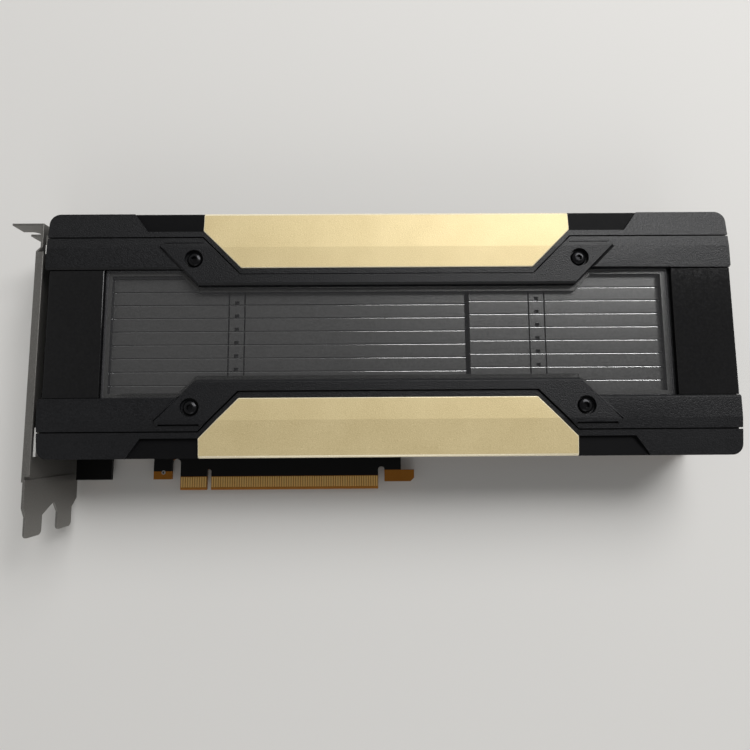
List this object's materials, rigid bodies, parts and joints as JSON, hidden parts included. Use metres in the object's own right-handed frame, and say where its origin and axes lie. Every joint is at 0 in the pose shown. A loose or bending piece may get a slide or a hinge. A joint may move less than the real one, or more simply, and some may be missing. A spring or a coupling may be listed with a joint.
{
  "type": "passive accelerator card",
  "caption": "Dual-slot full-height passive accelerator card: shrouded fin heat sink under a clear window, gold accent plates, vented bracket, edge connector.",
  "frame": {"origin": "centre of the edge connector's key notch, at the contacts' leading edge, in the board's middle plane", "axes": "+X from the I/O bracket to the rear end, +Y from the contacts to the far edge, +Z from the component side to the top of the shroud"},
  "size_m": [0.2781, 0.1227, 0.0384],
  "materials": {
    "pcb": "black solder mask",
    "edge_contacts": "gold plated",
    "package_substrate": "matte",
    "package_frame": "satin",
    "processor_die": "polished",
    "memory_stacks": "satin",
    "chokes": "matte",
    "power_stages": "matte",
    "thermal_pads": "matte",
    "power_connector": "moulded",
    "power_pins": "tinned",
    "capacitors": "satin",
    "base_plate": "black anodised",
    "vapour_chamber": "plain copper",
    "fin_stack_front": "plain",
    "fin_stack_rear": "plain",
    "shroud_frame": "fine textured black",
    "upper_rail": "fine textured black",
    "lower_rail": "fine textured black",
    "upper_accent_plate": "satin gold",
    "lower_accent_plate": "satin gold",
    "window": "clear sheet",
    "front_panel": "gloss black",
    "rear_panel": "gloss black",
    "rail_screws": "black oxide",
    "bracket": "plated",
    "bracket_screws": "plated",
    "back_plate": "satin black"
  },
  "bodies": {
    "root": {"pcb": "pcb", "edge_contacts": "edge_contacts", "package_substrate": "package_substrate", "package_frame": "package_frame", "processor_die": "processor_die", "memory_stacks": "memory_stacks", "chokes": "chokes", "power_stages": "power_stages", "thermal_pads": "thermal_pads", "power_connector": "power_connector", "power_pins": "power_pins", "capacitors": "capacitors", "base_plate": "base_plate", "vapour_chamber": "vapour_chamber", "fin_stack_front": "fin_stack_front", "fin_stack_rear": "fin_stack_rear", "shroud_frame": "shroud_frame", "upper_rail": "upper_rail", "lower_rail": "lower_rail", "upper_accent_plate": "upper_accent_plate", "lower_accent_plate": "lower_accent_plate", "window": "window", "front_panel": "front_panel", "rear_panel": "rear_panel", "rail_screws": "rail_screws", "bracket": "bracket", "bracket_screws": "bracket_screws", "back_plate": "back_plate"}
  },
  "joints": []
}
